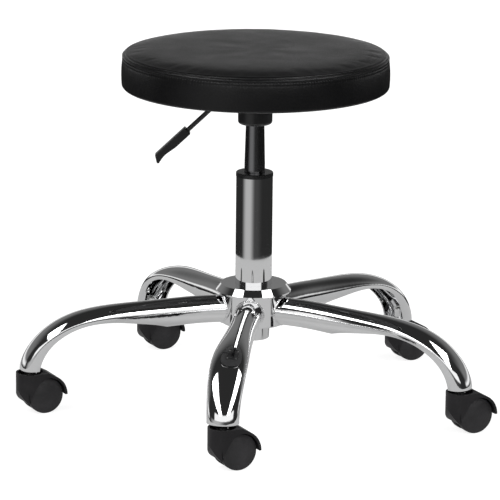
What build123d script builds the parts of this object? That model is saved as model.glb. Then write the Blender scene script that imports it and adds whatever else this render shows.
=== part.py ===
from build123d import *

import math
import os
from collections import namedtuple

# Adjustable swivel stool: a round padded seat on a gas lift, a chrome five-leg base and twin-wheel casters.
# Millimetres. The origin is on the floor, on the swivel axis, with +Z up. Leg 1 points along -Y.

# ---- overall ----
LEG_COUNT = 5
STEM_CIRCLE_RADIUS = 308.0
FIRST_LEG_AZIMUTH = -90.0
CASTER_TRAIL_AZIMUTH = 34.0
LEVER_AZIMUTH = 187.0
LIFT_DOWN = 60.0
LIFT_UP = 55.0

# ---- seat ----
SEAT_RADIUS = 181.0
SEAT_BOTTOM = 442.5
SEAT_THICKNESS = 50.0
COVER_THICKNESS = 1.2
COVER_EDGE_RADIUS = 7.0
COVER_RETURN = 26.0
BOARD_THICKNESS = 12.0
SIDE_FOAM = 9.0
CLOTH_THICKNESS = 0.6
STAPLE_COUNT = 20
STAPLE_WIRE = 0.5
STAPLE_WIDTH = 10.0
STAPLE_LEG = 6.0
SOFT_GAP = 0.1

# ---- mechanism ----
PLATE_SIDE = 152.0
PLATE_THICKNESS = 2.5
PLATE_CORNER = 14.0
BOLT_SPACING = 118.0
BOLT_DIAMETER = 6.0
BOLT_HEAD_ACROSS_FLATS = 10.0
BOLT_HEAD_HEIGHT = 4.0
BOLT_FLANGE_DIAMETER = 14.0
BOLT_FLANGE_HEIGHT = 1.4
BOLT_LENGTH = 14.0
T_NUT_BARREL = 8.5
T_NUT_FLANGE = 19.0
T_NUT_FLANGE_HEIGHT = 1.2
BELL_DIAMETER = 46.8
BELL_WALL = 2.5
BELL_HEIGHT = 49.5
BELL_CORNER = 4.5
CONE_WALL = 2.6
LEVER_AXIS_DROP = 12.5
LEVER_ROD_DIAMETER = 6.3
LEVER_PIVOT_RADIUS = 30.0
LEVER_PIVOT_DIAMETER = 3.0
LEVER_BEND_RUN = 42.0
LEVER_BEND_RADIUS = 11.0
LEVER_SLOPE = 43.5
LEVER_ROD_EXPOSED = 68.0
LEVER_ROD_GRIPPED = 22.0
BRACKET_WALL = 2.0
BRACKET_LENGTH = 16.0
BRACKET_GAP = 0.4
HANDLE_LENGTH = 63.0
HANDLE_DEPTH = 11.6
HANDLE_WIDTH = 15.0
HANDLE_TIP_DROP = 7.0
HANDLE_EDGE_RADIUS = 1.3

# ---- gas lift ----
COLUMN_DIAMETER = 50.0
COLUMN_WALL = 2.0
COLUMN_TOP = 320.8
COLUMN_BOTTOM = 94.0
COLUMN_TAPER_TOP = 162.0
COLUMN_TAPER = 5.4
COLUMN_FOOT_FLANGE = 3.0
SLEEVE_FLANGE_HEIGHT = 5.8
SLEEVE_FLANGE_OVERHANG = 0.4
SLEEVE_LENGTH = 76.0
TUBE_DIAMETER = 28.0
TUBE_WALL = 1.5
TUBE_TOP_DROP = 19.5
BUMPER_MARGIN = 5.8
TUBE_TAPER_LENGTH = 85.0
TAPER_ANGLE = 1.4378
ROD_DIAMETER = 10.0
ROD_SHOULDER_DIAMETER = 15.0
ROD_SHOULDER_HEIGHT = 4.0
PISTON_HEIGHT = 12.0
PISTON_MARGIN = 8.0
LINER_DIAMETER = 20.0
LINER_WALL = 1.0
ROD_GUIDE_HEIGHT = 22.0
VALVE_HEIGHT = 26.0
PIN_DIAMETER = 5.0
PIN_FREE_PLAY = 0.6
PIN_TRAVEL = 4.2
BALL_DIAMETER = 4.0
BALL_COUNT = 10
RACE_THICKNESS = 1.6
BUMPER_HEIGHT = 16.0
BUMPER_DIAMETER = 26.0
CLIP_THICKNESS = 1.5

# ---- hub ----
HUB_MARGIN = 13.5
HUB_WALL = 2.5
HUB_SKIRT_BELOW_LEG = 1.2
HUB_RISE_ABOVE_LEG = 5.0
CAP_OVERHANG = 7.1
CAP_TOP_MARGIN = 0.5
CAP_RISE = 10.8
CAP_LIP = 2.0
CAP_WALL = 2.0
HUB_SOCKET_WALL = 2.5

# ---- legs ----
LEG_TUBE_DIAMETER = 38.0
LEG_AXIS_HEIGHT = 136.2
LEG_END_CLEARANCE = 5.0
LEG_WALL = 2.0
LEG_ROOT_MARGIN = 3.4
LEG_STATION_COUNT = 13

# ---- casters ----
WHEEL_DIAMETER = 50.0
WHEEL_BULGE = 20.0
WHEEL_TREAD_EDGE = 13.0
WHEEL_INNER_FACE = 6.0
WHEEL_BORE_DEPTH = 15.0
AXLE_DIAMETER = 6.0
CASTER_TRAIL = 17.0
HOOD_RADIUS = 19.8
HOOD_ROOF = 7.0
HOOD_WALL = 2.0
HOOD_WEB = 5.4
FENDER_WALL = 3.2
FENDER_GAP = 1.4
CHIN_DEPTH = 9.5
STEM_DIAMETER = 10.9
STEM_PIN_DIAMETER = 7.8
STEM_PIN_LIFT = 8.0
STEM_NECK_DIAMETER = 13.0
STEM_LENGTH_IN_LEG = 17.0
STEM_GROOVE_DROP = 7.0
STEM_GROOVE_DEPTH = 1.2
STEM_GROOVE_WIDTH = 2.0
SOCKET_DIAMETER = 15.0
SOCKET_HEIGHT = 14.5
SOCKET_PLATE = 2.6
RECESS_RADIUS = 17.2
RECESS_DEPTH = 6.0
RECESS_RIB_COUNT = 12

# ---- clearances ----
RUNNING_GAP = 0.08
ASSEMBLY_GAP = 0.1
LEG_HOLE_GAP = 0.3
GRIP_RING_GAP = 0.05

# ---- heights and radii that follow from the sizes above ----
SEAT_TOP = SEAT_BOTTOM + SEAT_THICKNESS
BELL_BOTTOM = SEAT_BOTTOM - BELL_HEIGHT
LEVER_AXIS_HEIGHT = SEAT_BOTTOM - LEVER_AXIS_DROP
TUBE_TOP = SEAT_BOTTOM - TUBE_TOP_DROP
TUBE_TAPER_START = TUBE_TOP - TUBE_TAPER_LENGTH
COLUMN_FOOT_DIAMETER = COLUMN_DIAMETER - COLUMN_TAPER
TUBE_RADIUS = LEG_TUBE_DIAMETER / 2
WHEEL_RADIUS = WHEEL_DIAMETER / 2
AXLE_HEIGHT = WHEEL_RADIUS
CAVITY_RADIUS = WHEEL_RADIUS + FENDER_GAP
FENDER_RADIUS = CAVITY_RADIUS + FENDER_WALL
HOOD_TOP = WHEEL_DIAMETER + HOOD_ROOF
STEM_PIN_BOTTOM = AXLE_HEIGHT + STEM_PIN_LIFT
LEG_END_HEIGHT = HOOD_TOP + LEG_END_CLEARANCE
STEM_TOP = LEG_END_HEIGHT + STEM_LENGTH_IN_LEG
TUBES_MEET_RADIUS = TUBE_RADIUS / math.tan(math.pi / LEG_COUNT) + 1.0
LEG_ROOT_RADIUS = max(COLUMN_DIAMETER / 2 + HUB_SOCKET_WALL + LEG_ROOT_MARGIN, TUBES_MEET_RADIUS)
HUB_DIAMETER = 2 * (LEG_ROOT_RADIUS + HUB_MARGIN)
HUB_BOTTOM = LEG_AXIS_HEIGHT - TUBE_RADIUS - HUB_SKIRT_BELOW_LEG
HUB_TOP = LEG_AXIS_HEIGHT + TUBE_RADIUS + HUB_RISE_ABOVE_LEG
CAP_RIM_DIAMETER = HUB_DIAMETER + 2 * CAP_OVERHANG
CAP_TOP_DIAMETER = HUB_DIAMETER + 2 * CAP_TOP_MARGIN
CAP_TOP_HEIGHT = HUB_TOP + CAP_RISE


def turned(shape, azimuth):
    """The shape turned about the swivel axis."""
    return Rotation(0, 0, azimuth) * shape


def rod(radius, bottom, top, x=0.0, y=0.0):
    """A vertical cylinder between two heights."""
    height = top - bottom
    return Pos(x, y, bottom + height / 2) * Cylinder(radius, height)


def ring(outer, inner, bottom, top):
    """A vertical sleeve between two heights."""
    return rod(outer, bottom, top) - rod(inner, bottom - 1, top + 1)


def lathe(points):
    """A solid of revolution about Z from (radius, height) points."""
    face = make_face(Polyline(*[(r, 0, z) for r, z in points], close=True))
    return revolve(face, Axis.Z, 360)


def taper_radius(height):
    """Outer radius of the pressure tube at a height."""
    above = max(0.0, height - TUBE_TAPER_START)
    return TUBE_DIAMETER / 2 - above * math.tan(math.radians(TAPER_ANGLE))


def column_radius(height):
    """Outer radius of the column, which narrows where it wedges into the hub."""
    below = max(0.0, COLUMN_TAPER_TOP - height)
    share = below / (COLUMN_TAPER_TOP - COLUMN_BOTTOM)
    return COLUMN_DIAMETER / 2 - share * (COLUMN_DIAMETER - COLUMN_FOOT_DIAMETER) / 2


# ---------------------------------------------------------------- legs

# One cross-section of a leg. run and drop place the crown: run is measured outward from the caster stem,
# drop is a share of the whole fall from the crown at the hub to the leg's end. edge_run and edge_drop place
# the open lower edge. The section is two half ellipses that meet on its widest line: half_width is the width
# of both, shoulder the height of the upper one and belly the depth of the lower one, most of it cut away.
Station = namedtuple("Station", "run drop edge_run edge_drop half_width shoulder belly")

CROWN_HEIGHT = LEG_AXIS_HEIGHT + TUBE_RADIUS
LEG_FALL = CROWN_HEIGHT - LEG_END_HEIGHT
LEG_REACH = STEM_CIRCLE_RADIUS - LEG_ROOT_RADIUS
TUBE_SHARE = LEG_TUBE_DIAMETER / LEG_FALL
ROOT_RUN = -LEG_REACH
BEND_START = -0.885 * LEG_REACH
END_OVERRUN = 1.03
OPENING_RUN = -0.705 * LEG_REACH
OPENING_DEPTH = 0.067

# Control values of smooth lines along the leg, from where the round tube starts to change to the leg's
# end. Runs are measured from the stem, inner ones in proportion to the leg's reach; drops are shares of
# its fall; half widths, shoulders and bellies are measured from the tube's radius.
INNER_CROWN = [share * LEG_REACH for share in (-0.686, -0.578, -0.267, -0.217)]
INNER_EDGE = [share * LEG_REACH for share in (-0.686, -0.574, -0.275, -0.193)]
CROWN_RUNS = [BEND_START, *INNER_CROWN, 15.5, 14.5]
CROWN_DROPS = [0.0, 0.0, 0.094, 0.096, -0.026, 0.522, END_OVERRUN]
EDGE_RUNS = [BEND_START, *INNER_EDGE, -19.0, -10.0]
EDGE_DROPS = [TUBE_SHARE, TUBE_SHARE, 0.555, -0.174, 0.545, 0.441, END_OVERRUN]
HALF_WIDTHS = [TUBE_RADIUS + wider for wider in (0.0, 0.0, -4.9, 16.4, 1.8, 2.4)]
SHOULDERS = [TUBE_RADIUS + taller for taller in (0.0, 0.0, 0.2, -15.6, -5.3, -3.5)]
BELLIES = [TUBE_RADIUS + deeper for deeper in (0.0, 0.0, 10.6, 5.0, 6.0)]


def smooth_value(controls, share):
    """Value at a share of the way along a smooth line given by its control values."""
    values = list(controls)
    while len(values) > 1:
        values = [first + (second - first) * share for first, second in zip(values, values[1:])]
    return values[0]


def leg_station(share):
    """Outline sizes at a share of the way from the start of the bend to the leg's end."""
    lines = (CROWN_RUNS, CROWN_DROPS, EDGE_RUNS, EDGE_DROPS, HALF_WIDTHS, SHOULDERS, BELLIES)
    return Station(*[smooth_value(line, share) for line in lines])


def tube_station(run):
    """Outline sizes of the plain round tube near the hub."""
    return Station(run, 0.0, run, TUBE_SHARE, TUBE_RADIUS, TUBE_RADIUS, TUBE_RADIUS)


SHAPED_STATIONS = [leg_station(index / (LEG_STATION_COUNT - 1)) for index in range(LEG_STATION_COUNT)]
LEG_STATIONS = [tube_station(ROOT_RUN), tube_station((ROOT_RUN + BEND_START) / 2), *SHAPED_STATIONS]


def leg_point(run, drop):
    """Radius and height of a point given by its run and its share of the fall."""
    return Vector(STEM_CIRCLE_RADIUS + run, 0, CROWN_HEIGHT - drop * LEG_FALL)


def leg_section(station, inset, shift):
    """One closed cross-section; inset makes the cavity's, shift moves it along the leg."""
    crown = leg_point(station.run, station.drop)
    edge = leg_point(station.edge_run, station.edge_drop)
    inward = (edge - crown).normalized()
    along = inward.cross(Vector(0, 1, 0))
    widest = crown + inward * station.shoulder + along * shift
    plane = Plane(origin=widest, x_dir=(0, 1, 0), z_dir=Vector(0, 1, 0).cross(inward * -1))
    half = station.half_width - inset
    upper = plane * EllipticalCenterArc((0, 0), half, station.shoulder - inset, 0, arc_size=180)
    lower = plane * EllipticalCenterArc((0, 0), half, station.belly - inset, 180, arc_size=180)
    return make_face(upper + lower)


def leg_body(inset):
    """The leg's outer solid, or with an inset the cavity inside it."""
    shifts = [0.0] * len(LEG_STATIONS)
    if inset > 0:
        shifts[0] = -2.0
        shifts[-1] = 2.0
    sections = [leg_section(s, inset, shift) for s, shift in zip(LEG_STATIONS, shifts)]
    return loft(sections)


def leg_opening():
    """Everything under the channel's lower edge, which is cut away."""
    edges = [leg_point(s.edge_run, s.edge_drop) for s in SHAPED_STATIONS[3:]]
    start = leg_point(OPENING_RUN, TUBE_SHARE + OPENING_DEPTH)
    path = Spline(start, *edges)
    far_down = Vector(edges[-1].X, 0, 0)
    corner = Vector(start.X, 0, 0)
    boundary = path + Polyline(edges[-1], far_down, corner, start)
    return extrude(make_face(boundary), LEG_TUBE_DIAMETER, both=True)


def make_leg(cavity):
    """A leg along +X: round tube at the hub, opened and flattened to a channel, bent down over the stem."""
    below_end = Pos(STEM_CIRCLE_RADIUS, 0, LEG_END_HEIGHT - 25) * Box(120, 120, 50)
    return leg_body(0.0) - cavity - leg_opening() - below_end


def make_caster_socket(cavity):
    """Socket tube and closing plate inside the leg's end, along +X."""
    slab = Pos(STEM_CIRCLE_RADIUS, 0, LEG_END_HEIGHT + SOCKET_PLATE / 2) * Box(90, 90, SOCKET_PLATE)
    inner_edge = STEM_CIRCLE_RADIUS + LEG_STATIONS[-1].edge_run + 1
    kept = Pos(inner_edge + 50, 0, LEG_END_HEIGHT) * Box(100, 100, 100)
    plate = slab & cavity & kept
    tube = rod(SOCKET_DIAMETER / 2, LEG_END_HEIGHT, LEG_END_HEIGHT + SOCKET_HEIGHT, STEM_CIRCLE_RADIUS)
    bore_radius = STEM_DIAMETER / 2 + RUNNING_GAP
    bore = rod(bore_radius, LEG_END_HEIGHT - 1, LEG_END_HEIGHT + SOCKET_HEIGHT + 1, STEM_CIRCLE_RADIUS)
    return plate + tube - bore


def leg_azimuth(index):
    """Direction of leg number index, counted from 0."""
    return FIRST_LEG_AZIMUTH + index * 360 / LEG_COUNT


# ---------------------------------------------------------------- hub

def make_hub_shell():
    """Pressed cup with a hole for each leg and one for the column's socket."""
    radius = HUB_DIAMETER / 2
    cup = rod(radius, HUB_BOTTOM, HUB_TOP) - rod(radius - HUB_WALL, HUB_BOTTOM + HUB_WALL, HUB_TOP + 1)
    cup = fillet(cup.edges().filter_by(GeomType.CIRCLE).group_by(Axis.Z)[0].sort_by(SortBy.LENGTH)[-1], 2.0)
    socket_radius = column_radius(HUB_BOTTOM + HUB_WALL) + ASSEMBLY_GAP + HUB_SOCKET_WALL
    cup -= rod(socket_radius, HUB_BOTTOM - 1, HUB_BOTTOM + HUB_WALL + 1)
    hole_radius = TUBE_RADIUS + LEG_HOLE_GAP
    leg_hole = Pos(radius, 0, LEG_AXIS_HEIGHT) * Rotation(0, 90, 0) * Cylinder(hole_radius, 40)
    for index in range(LEG_COUNT):
        cup -= turned(leg_hole, leg_azimuth(index))
    return cup


def make_hub_cap():
    """Shallow pressed cap over the hub, with a flat top, a sloped skirt and a small upright lip."""
    top = CAP_TOP_DIAMETER / 2
    rim = CAP_RIM_DIAMETER / 2
    bore = COLUMN_DIAMETER / 2 + ASSEMBLY_GAP
    lip_top = HUB_TOP + CAP_LIP
    points = [
        (bore, CAP_TOP_HEIGHT),
        (top, CAP_TOP_HEIGHT),
        (rim, lip_top),
        (rim, HUB_TOP),
        (rim - CAP_WALL, HUB_TOP),
        (rim - CAP_WALL, lip_top - CAP_WALL / 2),
        (top - CAP_WALL / 2, CAP_TOP_HEIGHT - CAP_WALL),
        (bore, CAP_TOP_HEIGHT - CAP_WALL),
    ]
    return lathe(points)


def make_hub_socket():
    """Tapered sleeve inside the hub that the column wedges into."""
    top = CAP_TOP_HEIGHT - CAP_WALL
    outer = HUB_SOCKET_WALL + ASSEMBLY_GAP
    low = column_radius(HUB_BOTTOM)
    high = column_radius(COLUMN_TAPER_TOP)
    points = [
        (low + ASSEMBLY_GAP, HUB_BOTTOM),
        (low + outer, HUB_BOTTOM),
        (high + outer, COLUMN_TAPER_TOP),
        (high + outer, top),
        (high + ASSEMBLY_GAP, top),
        (high + ASSEMBLY_GAP, COLUMN_TAPER_TOP),
    ]
    return lathe(points)


# ---------------------------------------------------------------- gas lift, fixed part

def make_column_tube():
    """Outer column: straight above, tapered in the hub, with a turned-in foot that carries the bearing."""
    top = COLUMN_DIAMETER / 2
    foot = COLUMN_FOOT_DIAMETER / 2
    foot_top = COLUMN_BOTTOM + COLUMN_FOOT_FLANGE
    bore = ROD_DIAMETER / 2 + RUNNING_GAP
    points = [
        (bore, COLUMN_BOTTOM),
        (foot - 1.0, COLUMN_BOTTOM),
        (foot, COLUMN_BOTTOM + 1.0),
        (top, COLUMN_TAPER_TOP),
        (top, COLUMN_TOP),
        (top - COLUMN_WALL, COLUMN_TOP),
        (top - COLUMN_WALL, COLUMN_TAPER_TOP),
        (foot - COLUMN_WALL, foot_top),
        (bore, foot_top),
    ]
    return lathe(points)


def make_guide_sleeve():
    """Plastic bush that guides the pressure tube, with a flange that caps the column."""
    bore = TUBE_DIAMETER / 2 + RUNNING_GAP
    body = COLUMN_DIAMETER / 2 - COLUMN_WALL - ASSEMBLY_GAP
    flange = COLUMN_DIAMETER / 2 + SLEEVE_FLANGE_OVERHANG
    top = COLUMN_TOP + SLEEVE_FLANGE_HEIGHT
    points = [
        (bore, COLUMN_TOP - SLEEVE_LENGTH),
        (body, COLUMN_TOP - SLEEVE_LENGTH),
        (body, COLUMN_TOP),
        (flange, COLUMN_TOP),
        (flange, top - 0.8),
        (flange - 0.8, top),
        (bore + 0.8, top),
        (bore, top - 0.8),
    ]
    return lathe(points)


BEARING_BOTTOM = COLUMN_BOTTOM + COLUMN_FOOT_FLANGE
BALL_LEVEL = BEARING_BOTTOM + RACE_THICKNESS + BALL_DIAMETER / 2
BEARING_TOP = BEARING_BOTTOM + 2 * RACE_THICKNESS + BALL_DIAMETER
BALL_CIRCLE = ROD_DIAMETER / 2 + 6.0
RACE_OUTER = BALL_CIRCLE + 4.0
BALL_GAP = 0.05


def make_race(bottom):
    """A flat hardened washer of the thrust bearing."""
    return ring(RACE_OUTER, ROD_DIAMETER / 2 + RUNNING_GAP, bottom, bottom + RACE_THICKNESS)


def make_bearing_balls():
    """The balls as a group of separate solids."""
    balls = []
    for index in range(BALL_COUNT):
        ball = Pos(BALL_CIRCLE, 0, BALL_LEVEL) * Sphere(BALL_DIAMETER / 2 - BALL_GAP)
        balls.append(turned(ball, index * 360 / BALL_COUNT))
    return Compound(children=balls)


def make_bearing_cage():
    """The flat cage that spaces the balls."""
    cage = ring(BALL_CIRCLE + 3.2, BALL_CIRCLE - 3.2, BALL_LEVEL - 0.8, BALL_LEVEL + 0.8)
    for index in range(BALL_COUNT):
        pocket = rod(BALL_DIAMETER / 2 + RUNNING_GAP, BALL_LEVEL - 2, BALL_LEVEL + 2, BALL_CIRCLE)
        cage -= turned(pocket, index * 360 / BALL_COUNT)
    return cage


# ---------------------------------------------------------------- gas lift, piston

SHOULDER_TOP = BEARING_TOP + ROD_SHOULDER_HEIGHT
GROOVE_TOP = COLUMN_BOTTOM - ASSEMBLY_GAP
GROOVE_BOTTOM = GROOVE_TOP - CLIP_THICKNESS - ASSEMBLY_GAP
GROOVE_RADIUS = ROD_DIAMETER / 2 - 1.2
ROD_BOTTOM = GROOVE_BOTTOM - 3.0
TUBE_BOTTOM = SHOULDER_TOP + BUMPER_HEIGHT + LIFT_DOWN + BUMPER_MARGIN
PISTON_BOTTOM = TUBE_BOTTOM + LIFT_UP + ROD_GUIDE_HEIGHT + PISTON_MARGIN


def make_piston_rod():
    """Polished rod, with a shoulder on the bearing and a groove for the clip under the column's foot."""
    radius = ROD_DIAMETER / 2
    shoulder = ROD_SHOULDER_DIAMETER / 2
    points = [
        (0, ROD_BOTTOM),
        (radius - 0.8, ROD_BOTTOM),
        (radius, ROD_BOTTOM + 0.8),
        (radius, GROOVE_BOTTOM),
        (GROOVE_RADIUS, GROOVE_BOTTOM),
        (GROOVE_RADIUS, GROOVE_TOP),
        (radius, GROOVE_TOP),
        (radius, BEARING_TOP),
        (shoulder, BEARING_TOP),
        (shoulder, SHOULDER_TOP),
        (radius, SHOULDER_TOP),
        (radius, PISTON_BOTTOM),
        (0, PISTON_BOTTOM),
    ]
    return lathe(points)


def make_piston_head():
    """Piston at the rod's top, with a seal groove."""
    radius = LINER_DIAMETER / 2 - LINER_WALL - RUNNING_GAP
    head = rod(radius, PISTON_BOTTOM, PISTON_BOTTOM + PISTON_HEIGHT)
    middle = PISTON_BOTTOM + PISTON_HEIGHT / 2
    return head - ring(radius + 1, radius - 1.2, middle - 1.5, middle + 1.5)


def make_rubber_bumper():
    """Soft stop that the pressure tube meets at the bottom of its travel."""
    height = BUMPER_HEIGHT
    bumper = ring(BUMPER_DIAMETER / 2, ROD_DIAMETER / 2 + ASSEMBLY_GAP, SHOULDER_TOP, SHOULDER_TOP + height)
    waist = SHOULDER_TOP + height / 2
    return bumper - ring(BUMPER_DIAMETER / 2 + 1, BUMPER_DIAMETER / 2 - 2, waist - 2, waist + 2)


def make_retaining_clip():
    """Open spring clip in the rod's groove."""
    bottom = GROOVE_BOTTOM + ASSEMBLY_GAP / 2
    clip = ring(ROD_DIAMETER / 2 + 4, GROOVE_RADIUS + ASSEMBLY_GAP, bottom, bottom + CLIP_THICKNESS)
    return clip - Pos(8, 0, GROOVE_BOTTOM + 1) * Box(16, 5, 6)


# ---------------------------------------------------------------- gas lift, rising part

def make_pressure_tube():
    """Black pressure tube, tapered over its upper part to wedge in the seat's socket."""
    bore_top = taper_radius(TUBE_TOP) - TUBE_WALL
    guide_bore = TUBE_DIAMETER / 2 - TUBE_WALL
    points = [
        (guide_bore, TUBE_BOTTOM),
        (TUBE_DIAMETER / 2 - 0.8, TUBE_BOTTOM),
        (TUBE_DIAMETER / 2, TUBE_BOTTOM + 0.8),
        (TUBE_DIAMETER / 2, TUBE_TAPER_START),
        (taper_radius(TUBE_TOP), TUBE_TOP),
        (bore_top, TUBE_TOP),
        (guide_bore, TUBE_TAPER_START),
    ]
    return lathe(points)


VALVE_BOTTOM = TUBE_TOP - VALVE_HEIGHT
ROD_GUIDE_TOP = TUBE_BOTTOM + ROD_GUIDE_HEIGHT


def make_rod_guide():
    """Bush and seal pack that closes the tube's lower end round the rod."""
    outer = TUBE_DIAMETER / 2 - TUBE_WALL - ASSEMBLY_GAP
    return ring(outer, ROD_DIAMETER / 2 + RUNNING_GAP, TUBE_BOTTOM + 1, ROD_GUIDE_TOP)


def make_inner_cylinder():
    """Liner that the piston slides in."""
    outer = LINER_DIAMETER / 2
    return ring(outer, outer - LINER_WALL, ROD_GUIDE_TOP, VALVE_BOTTOM)


def make_valve_body():
    """Plug with the lock valve, in the tube's upper end."""
    outer = taper_radius(TUBE_TOP) - TUBE_WALL - ASSEMBLY_GAP
    body = rod(outer, VALVE_BOTTOM, TUBE_TOP - 0.5)
    return body - rod(PIN_DIAMETER / 2 + RUNNING_GAP, VALVE_BOTTOM + 8, TUBE_TOP + 1)


PIN_TOP = LEVER_AXIS_HEIGHT - LEVER_ROD_DIAMETER / 2 - PIN_FREE_PLAY
PIN_BOTTOM = VALVE_BOTTOM + 8 + PIN_TRAVEL + 1


def make_release_pin():
    """Domed pin that opens the valve when it is pressed."""
    pin = rod(PIN_DIAMETER / 2, PIN_BOTTOM, PIN_TOP)
    return fillet(pin.edges().group_by(Axis.Z)[-1], 1.6)


# ---------------------------------------------------------------- seat mechanism

PLATE_TOP = SEAT_BOTTOM
PLATE_BOTTOM = PLATE_TOP - PLATE_THICKNESS


def bolt_places():
    """Places of the four fixing bolts."""
    half = BOLT_SPACING / 2
    return [(x, y) for x in (-half, half) for y in (-half, half)]


def make_mechanism_plate():
    """Pressed plate that joins the lift to the seat, with turned-down sides."""
    plate = Pos(0, 0, PLATE_BOTTOM + PLATE_THICKNESS / 2) * Box(PLATE_SIDE, PLATE_SIDE, PLATE_THICKNESS)
    plate = fillet(plate.edges().filter_by(Axis.Z), PLATE_CORNER)
    half = PLATE_SIDE / 2 - PLATE_THICKNESS / 2
    for side in range(4):
        flange = Pos(half, 0, PLATE_BOTTOM - 3) * Box(PLATE_THICKNESS, PLATE_SIDE - 2 * PLATE_CORNER, 6)
        plate += turned(flange, side * 90)
    for x, y in bolt_places():
        plate -= rod(BOLT_DIAMETER / 2 + 0.3, PLATE_BOTTOM - 1, PLATE_TOP + 1, x, y)
    return plate


def make_socket_cone():
    """Tapered sleeve inside the bell that the pressure tube wedges into."""
    top = TUBE_TOP - 4
    low = taper_radius(BELL_BOTTOM)
    high = taper_radius(top)
    points = [
        (low + ASSEMBLY_GAP, BELL_BOTTOM),
        (low + ASSEMBLY_GAP + CONE_WALL, BELL_BOTTOM),
        (high + ASSEMBLY_GAP + CONE_WALL, top),
        (high + ASSEMBLY_GAP, top),
    ]
    return lathe(points)


def make_socket_bell():
    """Drawn housing under the plate, rounded at its foot, with a slot for the lever."""
    outer = BELL_DIAMETER / 2
    bell = rod(outer, BELL_BOTTOM, PLATE_BOTTOM)
    bell = fillet(bell.edges().group_by(Axis.Z)[0], BELL_CORNER)
    hollow = rod(outer - BELL_WALL, BELL_BOTTOM + BELL_WALL, PLATE_BOTTOM + 1)
    hollow = fillet(hollow.edges().group_by(Axis.Z)[0], BELL_CORNER - BELL_WALL)
    cone_foot = taper_radius(BELL_BOTTOM) + CONE_WALL + 2 * ASSEMBLY_GAP
    slot_bottom = LEVER_AXIS_HEIGHT - LEVER_ROD_DIAMETER / 2 - 4.0
    slot = Pos(outer, 0, (slot_bottom + PLATE_BOTTOM) / 2 + 1)
    slot = slot * Box(20, LEVER_ROD_DIAMETER + 1.6, PLATE_BOTTOM - slot_bottom + 2)
    bell = bell - hollow - rod(cone_foot, BELL_BOTTOM - 1, BELL_BOTTOM + BELL_WALL + 3)
    return bell - turned(slot, LEVER_AZIMUTH)


def make_lever_bracket():
    """Two ears under the plate that hold the lever's pivot."""
    ear_offset = LEVER_ROD_DIAMETER / 2 + BRACKET_GAP + BRACKET_WALL / 2
    ear_bottom = LEVER_AXIS_HEIGHT - 6.0
    height = PLATE_BOTTOM - ear_bottom
    ears = []
    for sign in (-1, 1):
        ear = Pos(LEVER_PIVOT_RADIUS, sign * ear_offset, ear_bottom + height / 2)
        ears.append(ear * Box(BRACKET_LENGTH - 6, BRACKET_WALL, height))
    bridge_width = 2 * ear_offset + BRACKET_WALL
    bridge = Pos(LEVER_PIVOT_RADIUS, 0, PLATE_BOTTOM - BRACKET_WALL / 2)
    bracket = ears[0] + ears[1] + bridge * Box(BRACKET_LENGTH - 6, bridge_width, BRACKET_WALL)
    pin_hole = Rotation(90, 0, 0) * Cylinder(LEVER_PIVOT_DIAMETER / 2 + ASSEMBLY_GAP, 40)
    bracket -= Pos(LEVER_PIVOT_RADIUS, 0, LEVER_AXIS_HEIGHT) * pin_hole
    return turned(bracket, LEVER_AZIMUTH)


def make_lever_pivot_pin():
    """Pin through the ears and the lever rod, with a head at one end."""
    length = LEVER_ROD_DIAMETER + 2 * (BRACKET_GAP + BRACKET_WALL) + 2.0
    shank = Rotation(90, 0, 0) * Cylinder(LEVER_PIVOT_DIAMETER / 2, length)
    head = Pos(0, length / 2, 0) * Rotation(90, 0, 0) * Cylinder(LEVER_PIVOT_DIAMETER / 2 + 1.2, 1.2)
    return turned(Pos(LEVER_PIVOT_RADIUS, 0, LEVER_AXIS_HEIGHT) * (shank + head), LEVER_AZIMUTH)


BEND_TANGENT = LEVER_BEND_RADIUS * math.tan(math.radians(LEVER_SLOPE / 2))


def lever_point(distance, drop=0.0):
    """A point past the lever's bend: distance down the slope, and drop square to it, below."""
    slope = math.radians(LEVER_SLOPE)
    x = LEVER_BEND_RUN + distance * math.cos(slope) - drop * math.sin(slope)
    z = LEVER_AXIS_HEIGHT - distance * math.sin(slope) - drop * math.cos(slope)
    return Vector(x, 0, z)


def make_lever_rod():
    """Bent steel rod from over the release pin, through its pivot, down into the handle."""
    inner_end = Vector(-2.5, 0, LEVER_AXIS_HEIGHT)
    bend = Vector(LEVER_BEND_RUN, 0, LEVER_AXIS_HEIGHT)
    tip = lever_point(LEVER_ROD_EXPOSED + LEVER_ROD_GRIPPED)
    path = FilletPolyline(inner_end, bend, tip, radius=LEVER_BEND_RADIUS)
    circle = Plane(origin=inner_end, z_dir=(1, 0, 0)) * Circle(LEVER_ROD_DIAMETER / 2)
    lever = sweep(circle, path)
    pin_hole = Rotation(90, 0, 0) * Cylinder(LEVER_PIVOT_DIAMETER / 2 + ASSEMBLY_GAP, 40)
    lever -= Pos(LEVER_PIVOT_RADIUS, 0, LEVER_AXIS_HEIGHT) * pin_hole
    return turned(lever, LEVER_AZIMUTH)


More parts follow.
